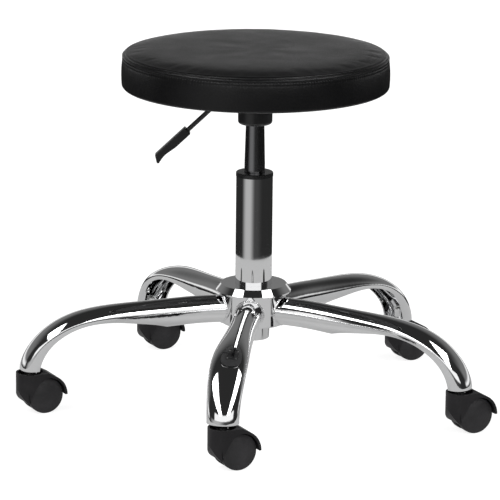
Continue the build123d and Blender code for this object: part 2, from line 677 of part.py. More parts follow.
def make_lever_handle():
    """Moulded paddle on the rod: straight back, a waist under it, and a tip that turns down."""
    start = LEVER_ROD_EXPOSED
    half = HANDLE_DEPTH / 2
    top_start = lever_point(start, -half)
    top_end = lever_point(start + 0.88 * HANDLE_LENGTH, -half)
    tip = lever_point(start + HANDLE_LENGTH, HANDLE_TIP_DROP)
    waist = lever_point(start + 0.74 * HANDLE_LENGTH, half - 2.0)
    swell = lever_point(start + 0.40 * HANDLE_LENGTH, half)
    bottom_start = lever_point(start, half)
    backward = lever_point(0) - lever_point(1)
    outline = Polyline(swell, bottom_start, top_start, top_end, tip)
    under = Spline(tip, waist, swell, tangents=[backward - Vector(0, 0, -0.3), backward])
    handle = extrude(make_face(outline + under), HANDLE_WIDTH / 2, both=True)
    crosswise = handle.edges().filter_by(Axis.Y).sort_by(Axis.X)
    handle = fillet(crosswise[-2:], 2.0)
    handle = fillet(handle.edges().filter_by(Axis.Y).sort_by(Axis.X)[:2], HANDLE_EDGE_RADIUS)
    sides = handle.faces().filter_by(Axis.Y)
    handle = fillet(sides.edges(), HANDLE_EDGE_RADIUS)
    bore_plane = Plane(origin=lever_point(start - 1), z_dir=lever_point(1) - lever_point(0))
    depth = LEVER_ROD_GRIPPED + 1 + ASSEMBLY_GAP
    bore = extrude(bore_plane * Circle(LEVER_ROD_DIAMETER / 2 + ASSEMBLY_GAP / 2), depth)
    return turned(handle - bore, LEVER_AZIMUTH)


def make_mounting_bolts():
    """Flanged hex bolts that clamp the plate to the board, as a group."""
    bolts = []
    for x, y in bolt_places():
        shank = rod(BOLT_DIAMETER / 2, PLATE_BOTTOM, PLATE_BOTTOM + BOLT_LENGTH, x, y)
        flange = rod(BOLT_FLANGE_DIAMETER / 2, PLATE_BOTTOM - BOLT_FLANGE_HEIGHT, PLATE_BOTTOM, x, y)
        hexagon = RegularPolygon(BOLT_HEAD_ACROSS_FLATS / 2, 6, major_radius=False)
        head_bottom = PLATE_BOTTOM - BOLT_FLANGE_HEIGHT - BOLT_HEAD_HEIGHT
        head = Pos(x, y, head_bottom) * extrude(hexagon, BOLT_HEAD_HEIGHT)
        bolts.append(shank + flange + head)
    return Compound(children=bolts)


# ---------------------------------------------------------------- seat

CLOTH_TOP = SEAT_BOTTOM + CLOTH_THICKNESS
STAPLE_TOP = CLOTH_TOP + STAPLE_WIRE
BOARD_BOTTOM = STAPLE_TOP + COVER_THICKNESS
BOARD_TOP = BOARD_BOTTOM + BOARD_THICKNESS
COVER_INNER_RADIUS = SEAT_RADIUS - COVER_THICKNESS
BOARD_RADIUS = COVER_INNER_RADIUS - SIDE_FOAM
RETURN_RADIUS = BOARD_RADIUS - COVER_RETURN
STAPLE_CIRCLE = BOARD_RADIUS - COVER_RETURN * 0.55


def bolt_holes(radius):
    """Clearance holes for the bolts through the seat's lower layers."""
    holes = [rod(radius, SEAT_BOTTOM - 1, BOARD_TOP + 1, x, y) for x, y in bolt_places()]
    return holes[0] + holes[1] + holes[2] + holes[3]


def make_cover_staples():
    """Staples that hold the cover's turned-under edge to the board, as a group."""
    half = STAPLE_WIDTH / 2
    middle = STAPLE_TOP - STAPLE_WIRE / 2
    staple = Pos(STAPLE_CIRCLE, 0, middle) * Box(STAPLE_WIRE * 2, STAPLE_WIDTH, STAPLE_WIRE)
    for sign in (-1, 1):
        place = Pos(STAPLE_CIRCLE, sign * (half - STAPLE_WIRE), STAPLE_TOP + STAPLE_LEG / 2)
        staple += place * Box(STAPLE_WIRE * 2, STAPLE_WIRE * 2, STAPLE_LEG)
    return [turned(staple, (index + 0.5) * 360 / STAPLE_COUNT) for index in range(STAPLE_COUNT)]


def make_seat_board():
    """Round plywood board with holes for the T-nuts and recesses for their flanges."""
    board = rod(BOARD_RADIUS, BOARD_BOTTOM, BOARD_TOP)
    board -= bolt_holes(T_NUT_BARREL / 2)
    for x, y in bolt_places():
        board -= rod(T_NUT_FLANGE / 2 + 0.2, BOARD_TOP - T_NUT_FLANGE_HEIGHT, BOARD_TOP + 1, x, y)
    return board


def make_t_nuts():
    """Flanged nuts let into the board's top, as a group."""
    nuts = []
    for x, y in bolt_places():
        barrel = rod(T_NUT_BARREL / 2, BOARD_BOTTOM + 1.5, BOARD_TOP, x, y)
        flange = rod(T_NUT_FLANGE / 2, BOARD_TOP - T_NUT_FLANGE_HEIGHT, BOARD_TOP, x, y)
        nuts.append(barrel + flange - rod(BOLT_DIAMETER / 2 + 0.05, BOARD_BOTTOM, BOARD_TOP + 1, x, y))
    return Compound(children=nuts)


def make_seat_foam():
    """Foam slab over the board that also wraps the board's edge."""
    outer = COVER_INNER_RADIUS - SOFT_GAP
    foam = rod(outer, BOARD_BOTTOM + SOFT_GAP, SEAT_TOP - COVER_THICKNESS - SOFT_GAP)
    foam = fillet(foam.edges().group_by(Axis.Z)[-1], COVER_EDGE_RADIUS - COVER_THICKNESS)
    foam = fillet(foam.edges().group_by(Axis.Z)[0], 3.0)
    return foam - rod(BOARD_RADIUS + SOFT_GAP, BOARD_BOTTOM - 1, BOARD_TOP + SOFT_GAP)


def make_seat_cover():
    """Sewn cover: flat top, upright side, and an edge turned under the board."""
    bottom = STAPLE_TOP
    skin = rod(SEAT_RADIUS, bottom, SEAT_TOP)
    skin = fillet(skin.edges().group_by(Axis.Z)[-1], COVER_EDGE_RADIUS)
    skin = fillet(skin.edges().group_by(Axis.Z)[0], 4.0)
    inside = rod(COVER_INNER_RADIUS, BOARD_BOTTOM, SEAT_TOP - COVER_THICKNESS)
    inside = fillet(inside.edges().group_by(Axis.Z)[-1], COVER_EDGE_RADIUS - COVER_THICKNESS)
    inside = fillet(inside.edges().group_by(Axis.Z)[0], 4.0 - COVER_THICKNESS)
    return skin - inside - rod(RETURN_RADIUS, bottom - 1, BOARD_BOTTOM + 0.5)


def make_dust_cloth():
    """Thin cloth that closes the seat's underside, with holes at the bolts."""
    cloth = rod(BOARD_RADIUS - 3, SEAT_BOTTOM, CLOTH_TOP)
    return cloth - bolt_holes(BOLT_DIAMETER / 2 + 0.5)


# ---------------------------------------------------------------- casters

# A caster is drawn round its own stem axis at x = 0, y = 0, with +X the way the wheels trail.


def make_stem():
    """Stem: grooved upper part in the leg's socket, a neck, and the pin that the hood turns on."""
    upper = STEM_DIAMETER / 2
    neck = STEM_NECK_DIAMETER / 2
    pin = STEM_PIN_DIAMETER / 2
    neck_bottom = HOOD_TOP - RECESS_DEPTH + 1.5
    groove = STEM_TOP - STEM_GROOVE_DROP
    points = [
        (0, STEM_PIN_BOTTOM),
        (pin, STEM_PIN_BOTTOM),
        (pin, neck_bottom),
        (neck - 1.5, neck_bottom),
        (neck, LEG_END_HEIGHT - 1.5),
        (neck, LEG_END_HEIGHT),
        (upper, LEG_END_HEIGHT),
        (upper, groove - STEM_GROOVE_WIDTH),
        (upper - STEM_GROOVE_DEPTH, groove - STEM_GROOVE_WIDTH),
        (upper - STEM_GROOVE_DEPTH, groove),
        (upper, groove),
        (upper, STEM_TOP - 1.5),
        (upper - 1.5, STEM_TOP),
        (0, STEM_TOP),
    ]
    return lathe(points)


def make_grip_ring():
    """Split spring ring in the stem's groove."""
    groove = STEM_TOP - STEM_GROOVE_DROP
    outer = STEM_DIAMETER / 2 + RUNNING_GAP / 2
    inner = STEM_DIAMETER / 2 - STEM_GROOVE_DEPTH + GRIP_RING_GAP
    ring_solid = ring(outer, inner, groove - STEM_GROOVE_WIDTH + ASSEMBLY_GAP, groove - ASSEMBLY_GAP)
    return ring_solid - Pos(5, 0, groove - 1) * Box(10, 1.5, 6)


def hood_side_profile():
    """The hood seen from the side: upright nose, flat top, slope and round fender."""
    nose = -HOOD_RADIUS
    fender_rear = CASTER_TRAIL + FENDER_RADIUS
    slope_angle = math.radians(62)
    slope_end_x = CASTER_TRAIL + FENDER_RADIUS * math.cos(slope_angle)
    slope_end = (slope_end_x, AXLE_HEIGHT + FENDER_RADIUS * math.sin(slope_angle))
    flat_run = (HOOD_TOP - slope_end[1]) * math.tan(slope_angle)
    flat_end = (slope_end[0] - flat_run, HOOD_TOP)
    arc_middle_angle = slope_angle / 2
    arc_middle = (
        CASTER_TRAIL + FENDER_RADIUS * math.cos(arc_middle_angle),
        AXLE_HEIGHT + FENDER_RADIUS * math.sin(arc_middle_angle),
    )
    chin_height = AXLE_HEIGHT - CHIN_DEPTH
    chin = (CASTER_TRAIL - WHEEL_RADIUS - 1.0, chin_height)
    cheek = (nose, AXLE_HEIGHT + 9.0)
    cheek_middle = (nose + 3.6, AXLE_HEIGHT - 0.5)

    def place(point):
        return (point[0], 0, point[1])

    outline = Polyline(place(cheek), (nose, 0, HOOD_TOP), place(flat_end), place(slope_end))
    outline += ThreePointArc(place(slope_end), place(arc_middle), (fender_rear, 0, AXLE_HEIGHT))
    axle = (CASTER_TRAIL, 0, AXLE_HEIGHT)
    outline += Polyline((fender_rear, 0, AXLE_HEIGHT), axle, (CASTER_TRAIL, 0, chin_height), place(chin))
    outline += ThreePointArc(place(chin), place(cheek_middle), place(cheek))
    return make_face(outline)


def wheel_window():
    """The opening in the hood's side that shows the wheel, as a face square to the axle."""
    def about_axle(degrees, radius):
        angle = math.radians(degrees)
        return (CASTER_TRAIL + radius * math.cos(angle), 0, AXLE_HEIGHT + radius * math.sin(angle))

    rear = about_axle(0, CAVITY_RADIUS)
    crest = about_axle(80, CAVITY_RADIUS - 0.6)
    brow = about_axle(115, WHEEL_RADIUS - 2.4)
    cheek = about_axle(145, WHEEL_RADIUS - 4.6)
    low = about_axle(178, WHEEL_RADIUS - 2.4)
    chin = about_axle(196, WHEEL_RADIUS + 5)
    arch = ThreePointArc(rear, about_axle(40, CAVITY_RADIUS), crest) + Spline(crest, brow, cheek, low, chin)
    ground = Polyline(chin, (chin[0], 0, -5), (rear[0], 0, -5), rear)
    return make_face(arch + ground)


def make_hood():
    """Moulded hood: nose round the stem, fender over both wheels, and the web that holds the axle."""
    plan = Circle(HOOD_RADIUS) + Pos(30, 0) * Rectangle(60, 2 * HOOD_RADIUS)
    block = extrude(plan, HOOD_TOP + 5)
    hood = block & extrude(hood_side_profile(), 40, both=True)
    cavity_turn = Pos(CASTER_TRAIL, 0, AXLE_HEIGHT) * Rotation(90, 0, 0)
    inner_wall = HOOD_RADIUS - HOOD_WALL
    for sign in (-1, 1):
        cavity_width = inner_wall - HOOD_WEB
        middle = sign * (HOOD_WEB + cavity_width / 2)
        hood -= Pos(0, middle, 0) * cavity_turn * Cylinder(CAVITY_RADIUS, cavity_width)
        window = Pos(0, sign * (inner_wall - 0.01), 0) * extrude(wheel_window(), 10, dir=(0, sign, 0))
        hood -= window
    recess = rod(RECESS_RADIUS, HOOD_TOP - RECESS_DEPTH, HOOD_TOP + 1)
    boss_radius = STEM_PIN_DIAMETER / 2 + 3.2
    recess -= rod(boss_radius, HOOD_TOP - RECESS_DEPTH - 1, HOOD_TOP - RECESS_DEPTH + 1.4)
    for index in range(RECESS_RIB_COUNT):
        rib = Pos(RECESS_RADIUS, 0, HOOD_TOP - RECESS_DEPTH + 1.5) * Box(4.5, 1.4, 5)
        recess -= turned(rib, (index + 0.5) * 360 / RECESS_RIB_COUNT)
    hood -= recess
    hood -= rod(STEM_PIN_DIAMETER / 2 + RUNNING_GAP, STEM_PIN_BOTTOM - 0.5, HOOD_TOP)
    axle_hole = cavity_turn * Cylinder(AXLE_DIAMETER / 2, 60)
    return hood - axle_hole


def make_axle():
    """Axle pressed through the hood's web."""
    length = 2 * (WHEEL_BORE_DEPTH - 0.5)
    return Pos(CASTER_TRAIL, 0, AXLE_HEIGHT) * Rotation(90, 0, 0) * Cylinder(AXLE_DIAMETER / 2, length)


def make_wheel(sign):
    """Moulded wheel with a domed outer face, a hollow inner face and a blind bore."""
    inner = WHEEL_INNER_FACE
    radius = WHEEL_RADIUS
    tread_edge = (radius, 0, WHEEL_TREAD_EDGE)
    shoulder_radius = radius - 2.8
    shoulder_level = WHEEL_TREAD_EDGE + 3.0
    shoulder = (shoulder_radius, 0, shoulder_level)
    round_middle = (radius - 0.6, 0, WHEEL_TREAD_EDGE + 1.9)
    rise = WHEEL_BULGE - shoulder_level
    dome_radius = (shoulder_radius ** 2 + rise ** 2) / (2 * rise)
    middle_drop = dome_radius - math.sqrt(dome_radius ** 2 - (shoulder_radius / 2) ** 2)
    dome_middle = (shoulder_radius / 2, 0, WHEEL_BULGE - middle_drop)
    centre = (0, 0, WHEEL_BULGE)
    outline = Polyline(centre, (0, 0, inner), (radius - 1, 0, inner), (radius, 0, inner + 1), tread_edge)
    outline += ThreePointArc(tread_edge, round_middle, shoulder)
    outline += ThreePointArc(shoulder, dome_middle, centre)
    wheel = revolve(make_face(outline), Axis.Z, 360)
    wheel -= rod(AXLE_DIAMETER / 2 + RUNNING_GAP, inner - 1, WHEEL_BORE_DEPTH)
    wheel -= ring(radius - 4, AXLE_DIAMETER / 2 + 3, inner - 1, inner + 6)
    turn = Rotation(-90 * sign, 0, 0)
    return Pos(CASTER_TRAIL, 0, AXLE_HEIGHT) * turn * wheel


def placed_at_leg(shape, index):
    """A caster part moved from its own stem axis to a leg's, trailing in the common direction."""
    azimuth = math.radians(leg_azimuth(index))
    x = STEM_CIRCLE_RADIUS * math.cos(azimuth)
    y = STEM_CIRCLE_RADIUS * math.sin(azimuth)
    return Pos(x, y, 0) * Rotation(0, 0, CASTER_TRAIL_AZIMUTH) * shape


# ---------------------------------------------------------------- assembly

def build_base():
    """Nodes of the base and the fixed part of the lift."""
    cavity = leg_body(LEG_WALL)
    leg = make_leg(cavity)
    socket = make_caster_socket(cavity)
    nodes = {f"leg_{index + 1}": turned(leg, leg_azimuth(index)) for index in range(LEG_COUNT)}
    legs = range(LEG_COUNT)
    nodes["caster_sockets"] = Compound(children=[turned(socket, leg_azimuth(i)) for i in legs])
    nodes["caster_stems"] = Compound(children=[placed_at_leg(make_stem(), i) for i in legs])
    nodes["stem_grip_rings"] = Compound(children=[placed_at_leg(make_grip_ring(), i) for i in legs])
    nodes["hub_shell"] = make_hub_shell()
    nodes["hub_cap"] = make_hub_cap()
    nodes["hub_socket"] = make_hub_socket()
    nodes["column_tube"] = make_column_tube()
    nodes["guide_sleeve"] = make_guide_sleeve()
    nodes["bearing_lower_race"] = make_race(BEARING_BOTTOM)
    nodes["bearing_balls"] = make_bearing_balls()
    nodes["bearing_cage"] = make_bearing_cage()
    return nodes


def build_lift():
    """Nodes of the piston and of the rising pressure tube."""
    return {
        "bearing_upper_race": make_race(BEARING_TOP - RACE_THICKNESS),
        "piston_rod": make_piston_rod(),
        "piston_head": make_piston_head(),
        "rubber_bumper": make_rubber_bumper(),
        "retaining_clip": make_retaining_clip(),
        "pressure_tube": make_pressure_tube(),
        "inner_cylinder": make_inner_cylinder(),
        "rod_guide": make_rod_guide(),
        "valve_body": make_valve_body(),
        "release_pin": make_release_pin(),
    }


def build_mechanism():
    """Nodes between the lift and the seat."""
    return {
        "socket_cone": make_socket_cone(),
        "socket_bell": make_socket_bell(),
        "mechanism_plate": make_mechanism_plate(),
        "lever_bracket": make_lever_bracket(),
        "lever_pivot_pin": make_lever_pivot_pin(),
        "lever_rod": make_lever_rod(),
        "lever_handle": make_lever_handle(),
        "mounting_bolts": make_mounting_bolts(),
    }


def build_seat():
    """Nodes of the padded seat."""
    staples = make_cover_staples()
    cover = make_seat_cover()
    board = make_seat_board()
    for staple in staples:
        cover -= staple
        board -= staple
    return {
        "t_nuts": make_t_nuts(),
        "seat_board": board,
        "seat_foam": make_seat_foam(),
        "seat_cover": cover,
        "dust_cloth": make_dust_cloth(),
        "cover_staples": Compound(children=staples),
    }


def build_casters():
    """Nodes of the turning part of every caster."""
    parts = {
        "hood": make_hood(),
        "axle": make_axle(),
        "wheel_left": make_wheel(1),
        "wheel_right": make_wheel(-1),
    }
    nodes = {}
    for index in range(LEG_COUNT):
        for name, shape in parts.items():
            nodes[f"{name}_{index + 1}"] = placed_at_leg(shape, index)
    return nodes


def main():
    os.makedirs("parts", exist_ok=True)
    for build in (build_base, build_lift, build_mechanism, build_seat, build_casters):
        for name, shape in build().items():
            export_step(shape, f"parts/{name}.step")


main()
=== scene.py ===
import math

import bmesh
import bpy
import numpy as np
from mathutils import Matrix, Vector


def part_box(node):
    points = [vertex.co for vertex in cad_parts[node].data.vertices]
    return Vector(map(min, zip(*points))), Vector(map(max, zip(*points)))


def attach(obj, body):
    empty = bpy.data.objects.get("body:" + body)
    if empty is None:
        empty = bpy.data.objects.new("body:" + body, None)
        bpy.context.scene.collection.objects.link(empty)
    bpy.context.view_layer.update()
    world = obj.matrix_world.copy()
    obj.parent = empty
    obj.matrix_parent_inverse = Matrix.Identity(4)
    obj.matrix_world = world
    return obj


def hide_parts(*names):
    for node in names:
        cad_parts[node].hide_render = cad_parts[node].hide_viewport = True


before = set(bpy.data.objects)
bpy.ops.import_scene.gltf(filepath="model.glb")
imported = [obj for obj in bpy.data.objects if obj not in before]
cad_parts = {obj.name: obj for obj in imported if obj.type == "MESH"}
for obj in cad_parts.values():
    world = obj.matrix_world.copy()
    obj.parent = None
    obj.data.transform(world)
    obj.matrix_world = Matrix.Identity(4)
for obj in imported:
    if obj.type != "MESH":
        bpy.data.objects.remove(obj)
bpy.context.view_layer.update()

# Adjustable swivel stool, in metres, in the row frame: floor at z = 0, swivel axis through the origin.
# Sections: camera, node helpers, light, materials, mesh helpers, seat cushion, lining, base details.

MM = 0.001
TAU = 2 * math.pi
scene = bpy.context.scene


# ---------------------------------------------------------------- camera

VIEW_HEADING = math.radians(7.1)
VIEW_ELEVATION = math.radians(14.03)
VIEW_ROLL = -0.0105
VIEW_DISTANCE = 4.6471
VIEW_HEIGHT = 0.2156
VIEW_SIDE_STEP = -0.00519
LENS = 244.8
SENSOR = 36.0
SHIFT_UP = 0.0013

right = Vector((math.cos(VIEW_HEADING), math.sin(VIEW_HEADING), 0))
level = Vector((-math.sin(VIEW_HEADING), math.cos(VIEW_HEADING), 0))
forward = level * math.cos(VIEW_ELEVATION) - Vector((0, 0, math.sin(VIEW_ELEVATION)))
up = right.cross(forward)
rolled_right = right * math.cos(VIEW_ROLL) - up * math.sin(VIEW_ROLL)
rolled_up = right * math.sin(VIEW_ROLL) + up * math.cos(VIEW_ROLL)
aim = right * VIEW_SIDE_STEP + Vector((0, 0, VIEW_HEIGHT))
place = aim - forward * VIEW_DISTANCE

camera_data = bpy.data.cameras.new("camera")
camera_data.lens = LENS
camera_data.sensor_width = SENSOR
camera_data.shift_y = SHIFT_UP
camera_data.clip_end = 200
camera = bpy.data.objects.new("camera", camera_data)
scene.collection.objects.link(camera)
axes = Matrix((rolled_right, rolled_up, -forward)).transposed().to_4x4()
camera.matrix_world = Matrix.Translation(place) @ axes
scene.camera = camera
scene.view_settings.view_transform = "Standard"


# ---------------------------------------------------------------- node helpers

class Nodes:
    """A node tree with short calls that make a node and link what it is given."""

    def __init__(self, tree):
        self.tree = tree

    def make(self, kind, **settings):
        node = self.tree.nodes.new(kind)
        for name, value in settings.items():
            setattr(node, name, value)
        return node

    def feed(self, socket, value):
        if isinstance(value, bpy.types.NodeSocket):
            self.tree.links.new(value, socket)
        else:
            socket.default_value = value

    def math(self, operation, first, second=0.0):
        node = self.make("ShaderNodeMath", operation=operation)
        self.feed(node.inputs[0], first)
        self.feed(node.inputs[1], second)
        return node.outputs[0]

    def remap(self, value, low, high, to_low, to_high, smooth=False):
        node = self.make("ShaderNodeMapRange")
        if smooth:
            node.interpolation_type = "SMOOTHSTEP"
        for index, item in enumerate((value, low, high, to_low, to_high)):
            self.feed(node.inputs[index], item)
        return node.outputs[0]

    def blend(self, amount, first, second):
        node = self.make("ShaderNodeMix", data_type="RGBA")
        self.feed(node.inputs[0], amount)
        self.feed(node.inputs[6], first)
        self.feed(node.inputs[7], second)
        return node.outputs[2]


def rgb(red, green, blue):
    return (red, green, blue, 1.0)


# ---------------------------------------------------------------- light

# The room is far away, so the pale floor is even: two long softboxes overhead that run away from the camera,
# a low white panel on the camera's side, a soft box low on its left, a dim one beside it and a pale wall
# behind the stool. Azimuths are in degrees from the direction of the camera, positive towards its right.
# Each panel: azimuth from and to, side softness, elevation from and to, top softness, radiance.
PANELS = [
    (-50, 50, 3, 6, 24, 2, 1.0),
    (-67, -12, 18, -60, 5, 3, 0.40),
    (-60, 34, 22, -60, 5, 3, 0.035),
    (90, 270, 6, -2, 6, 4, 0.75),
    (98, 262, 10, -2, 30, 14, 0.16),
]
BOTTOM_SOFTNESS = 3
# The overhead softboxes: how far right of the stool each starts and ends, for each metre of height.
STRIPS = [(-1.0, -0.5), (0.45, 0.95)]
STRIP_NEAR = -2.2
STRIP_FAR = 0.3
STRIP_SOFTNESS = 0.03
STRIP_RADIANCE = 5.0
# Directions lower than this, as a share of straight up, don't see the overhead softboxes.
LOWEST_OVERHEAD = 0.05
ROOM_RADIANCE = 0.024
# Azimuths below this are counted on past 180 degrees, so that the wall behind is one span.
AZIMUTH_SEAM = -86.0
MIRROR_RADIUS = 0.85
FLOOR_RADIUS = 60.0
FLOOR_TONE = 0.38
FLOOR_GLOW = 0.83
MIRROR_TONE = 0.3
MIRROR_GLOW = 0.25

world = bpy.data.worlds.new("studio")
scene.world = world
world.use_nodes = True
room = Nodes(world.node_tree)
background = world.node_tree.nodes["Background"]


def band(value, start, end, start_soft, end_soft, height=1.0):
    """A plateau of the given height between start and end, with soft edges."""
    rise = room.remap(value, start - start_soft, start + start_soft, 0.0, height, smooth=True)
    fall = room.remap(value, end - end_soft, end + end_soft, 1.0, 0.0, smooth=True)
    return room.math("MULTIPLY", rise, fall)


coordinates = room.make("ShaderNodeTexCoord")
split = room.make("ShaderNodeSeparateXYZ")
turn = room.make("ShaderNodeVectorRotate", rotation_type="Z_AXIS")
room.feed(turn.inputs["Vector"], coordinates.outputs["Generated"])
turn.inputs["Angle"].default_value = math.pi / 2 - VIEW_HEADING
room.feed(split.inputs[0], turn.outputs[0])
towards, rightward, upward = split.outputs
azimuth = room.math("ARCTAN2", rightward, towards)
azimuth = room.math("MULTIPLY", azimuth, 180 / math.pi)
behind = room.math("LESS_THAN", azimuth, AZIMUTH_SEAM)
azimuth = room.math("ADD", azimuth, room.math("MULTIPLY", behind, 360.0))
elevation = room.math("MULTIPLY", room.math("ARCSINE", upward), 180 / math.pi)
light = ROOM_RADIANCE
for start, end, side_soft, bottom, top, top_soft, radiance in PANELS:
    tall = band(elevation, bottom, top, BOTTOM_SOFTNESS, top_soft, radiance)
    panel = room.math("MULTIPLY", band(azimuth, start, end, side_soft, side_soft), tall)
    light = room.math("ADD", panel, light)
overhead = room.math("GREATER_THAN", upward, LOWEST_OVERHEAD)
climb = room.math("MAXIMUM", upward, LOWEST_OVERHEAD)
aside = room.math("DIVIDE", rightward, climb)
away = room.math("MULTIPLY", room.math("DIVIDE", towards, climb), -1.0)
length = band(away, STRIP_NEAR, STRIP_FAR, STRIP_SOFTNESS, STRIP_SOFTNESS, STRIP_RADIANCE)
length = room.math("MULTIPLY", length, overhead)
for start, end in STRIPS:
    strip = room.math("MULTIPLY", band(aside, start, end, STRIP_SOFTNESS, STRIP_SOFTNESS), length)
    light = room.math("ADD", strip, light)
room.feed(background.inputs["Color"], light)
background.inputs["Strength"].default_value = 1.0


def floor_disc(name, radius, height, tone, glow, segments=128):
    """A matt pale disc of floor that also glows a little, as a floor lit from below does."""
    mesh = bpy.data.meshes.new(name)
    angles = np.linspace(0, TAU, segments, False)
    rim = [(radius * math.cos(a), radius * math.sin(a), height) for a in angles]
    mesh.from_pydata(rim, [], [list(range(segments))])
    material = bpy.data.materials.new(name)
    material.use_nodes = True
    shader = material.node_tree.nodes["Principled BSDF"]
    shader.inputs["Base Color"].default_value = rgb(tone, tone, tone)
    shader.inputs["Roughness"].default_value = 0.9
    shader.inputs["Specular IOR Level"].default_value = 0.0
    shader.inputs["Emission Color"].default_value = rgb(1.0, 1.0, 1.0)
    shader.inputs["Emission Strength"].default_value = glow
    mesh.materials.append(material)
    piece = bpy.data.objects.new(name, mesh)
    scene.collection.objects.link(piece)
    return piece


# The floor that is seen and lights the stool, and the smaller patch of it that shows in reflections.
wide_floor = floor_disc("floor", FLOOR_RADIUS, 0.0, FLOOR_TONE, FLOOR_GLOW)
wide_floor.visible_glossy = False
mirror_floor = floor_disc("floor_in_reflections", MIRROR_RADIUS, 0.1 * MM, MIRROR_TONE, MIRROR_GLOW)
mirror_floor.visible_camera = False
mirror_floor.visible_diffuse = False
mirror_floor.visible_shadow = False


# ---------------------------------------------------------------- materials

class Finish(Nodes):
    """A procedural material on the Principled shader, in the object's own coordinates."""

    def __init__(self, name):
        self.material = bpy.data.materials.new(name)
        self.material.use_nodes = True
        super().__init__(self.material.node_tree)
        self.shader = self.tree.nodes["Principled BSDF"]
        self.place = self.make("ShaderNodeTexCoord").outputs["Object"]

    def set(self, **values):
        names = {name.lower().replace(" ", "_"): name for name in self.shader.inputs.keys()}
        for name, value in values.items():
            self.feed(self.shader.inputs[names[name]], value)

    def stretched(self, along_x, along_y, along_z):
        node = self.make("ShaderNodeMapping")
        self.feed(node.inputs["Vector"], self.place)
        node.inputs["Scale"].default_value = (along_x, along_y, along_z)
        return node.outputs[0]

    def noise(self, scale, detail=3.0, roughness=0.5, distortion=0.0, vector=None):
        node = self.make("ShaderNodeTexNoise")
        self.feed(node.inputs["Vector"], vector or self.place)
        node.inputs["Scale"].default_value = scale
        node.inputs["Detail"].default_value = detail
        node.inputs["Roughness"].default_value = roughness
        node.inputs["Distortion"].default_value = distortion
        return node.outputs["Fac"]

    def cells(self, scale, feature="F1", vector=None, randomness=1.0):
        node = self.make("ShaderNodeTexVoronoi", feature=feature)
        self.feed(node.inputs["Vector"], vector or self.place)
        node.inputs["Scale"].default_value = scale
        node.inputs["Randomness"].default_value = randomness
        return node.outputs["Distance"]

    def bumped(self, height, distance, strength, under=None):
        node = self.make("ShaderNodeBump")
        self.feed(node.inputs["Height"], height)
        node.inputs["Distance"].default_value = distance
        node.inputs["Strength"].default_value = strength
        if under is not None:
            self.feed(node.inputs["Normal"], under)
        return node.outputs[0]


def metal(name, light_tone, dark_tone, smooth, rough, smudge=14.0, peel=0.02, brushed=0.0, scratch=0.15):
    """Bare or plated metal: smudged gloss, faint peel in the surface and fine scratches."""
    finish = Finish(name)
    patches = finish.noise(smudge, 4.0, 0.6, 0.4)
    finish.set(base_color=finish.blend(patches, dark_tone, light_tone), metallic=1.0)
    scratches = finish.noise(90.0, 2.0, 0.5, 0.0, finish.stretched(9.0, 1.0, 1.2))
    marks = finish.remap(scratches, 0.62, 0.72, 0.0, scratch)
    gloss = finish.remap(patches, 0.35, 0.7, smooth, rough)
    finish.set(roughness=finish.math("ADD", gloss, finish.math("MULTIPLY", marks, rough)))
    normal = finish.bumped(finish.noise(55.0, 2.0), 0.0004, peel)
    if brushed:
        lines = finish.noise(260.0, 3.0, 0.6, 0.0, finish.stretched(1.0, 1.0, 12.0))
        normal = finish.bumped(lines, 0.0002, brushed, normal)
    finish.set(normal=normal)
    return finish.material


def moulded(name, tone, worn_tone, rough, grain, grain_size=900.0, coat=0.0, specular=0.5):
    """Moulded plastic, rubber or paint: fine texture, uneven gloss and slightly paler worn patches."""
    finish = Finish(name)
    patches = finish.noise(22.0, 4.0, 0.6, 0.6)
    fine = finish.noise(grain_size, 2.0, 0.6)
    mixed = finish.remap(patches, 0.4, 0.75, 0.0, 1.0)
    finish.set(base_color=finish.blend(mixed, tone, worn_tone), specular_ior_level=specular, coat_weight=coat)
    finish.set(roughness=finish.remap(patches, 0.3, 0.75, rough - 0.05, rough + 0.07))
    pits = finish.cells(grain_size * 0.6)
    relief = finish.math("ADD", fine, finish.math("MULTIPLY", pits, 0.5))
    finish.set(normal=finish.bumped(relief, 0.0003, grain))
    return finish.material


def vinyl():
    """Upholstery vinyl: pebbled grain in two sizes, soft sheen, small changes of tone and gloss."""
    finish = Finish("vinyl")
    warp = finish.noise(60.0, 2.0, 0.5)
    large = finish.cells(620.0, "SMOOTH_F1")
    small = finish.cells(1350.0, "F1")
    broad = finish.noise(9.0, 3.0, 0.55, 0.5)
    tone = finish.remap(broad, 0.3, 0.75, 0.0, 1.0)
    finish.set(base_color=finish.blend(tone, rgb(0.003, 0.003, 0.0033), rgb(0.0055, 0.0055, 0.0058)))
    relief = finish.math("ADD", finish.math("MULTIPLY", large, 1.4), finish.math("MULTIPLY", small, 0.6))
    relief = finish.math("ADD", relief, finish.math("MULTIPLY", warp, 0.3))
    soft = finish.noise(34.0, 3.0, 0.5, 0.3)
    folds = finish.bumped(soft, 0.003, 0.05)
    finish.set(normal=finish.bumped(relief, 0.00035, 0.35, folds))
    finish.set(roughness=finish.remap(finish.math("ADD", broad, soft), 0.7, 1.3, 0.28, 0.34))
    finish.set(specular_ior_level=0.28)
    return finish.material


def foam():
    """Open-cell cushion foam."""
    finish = Finish("foam")
    holes = finish.cells(700.0, "SMOOTH_F1")
    blotch = finish.noise(18.0, 3.0)
    finish.set(base_color=finish.blend(blotch, rgb(0.72, 0.66, 0.48), rgb(0.84, 0.80, 0.66)), roughness=0.95)
    finish.set(normal=finish.bumped(holes, 0.0008, 0.7))
    return finish.material


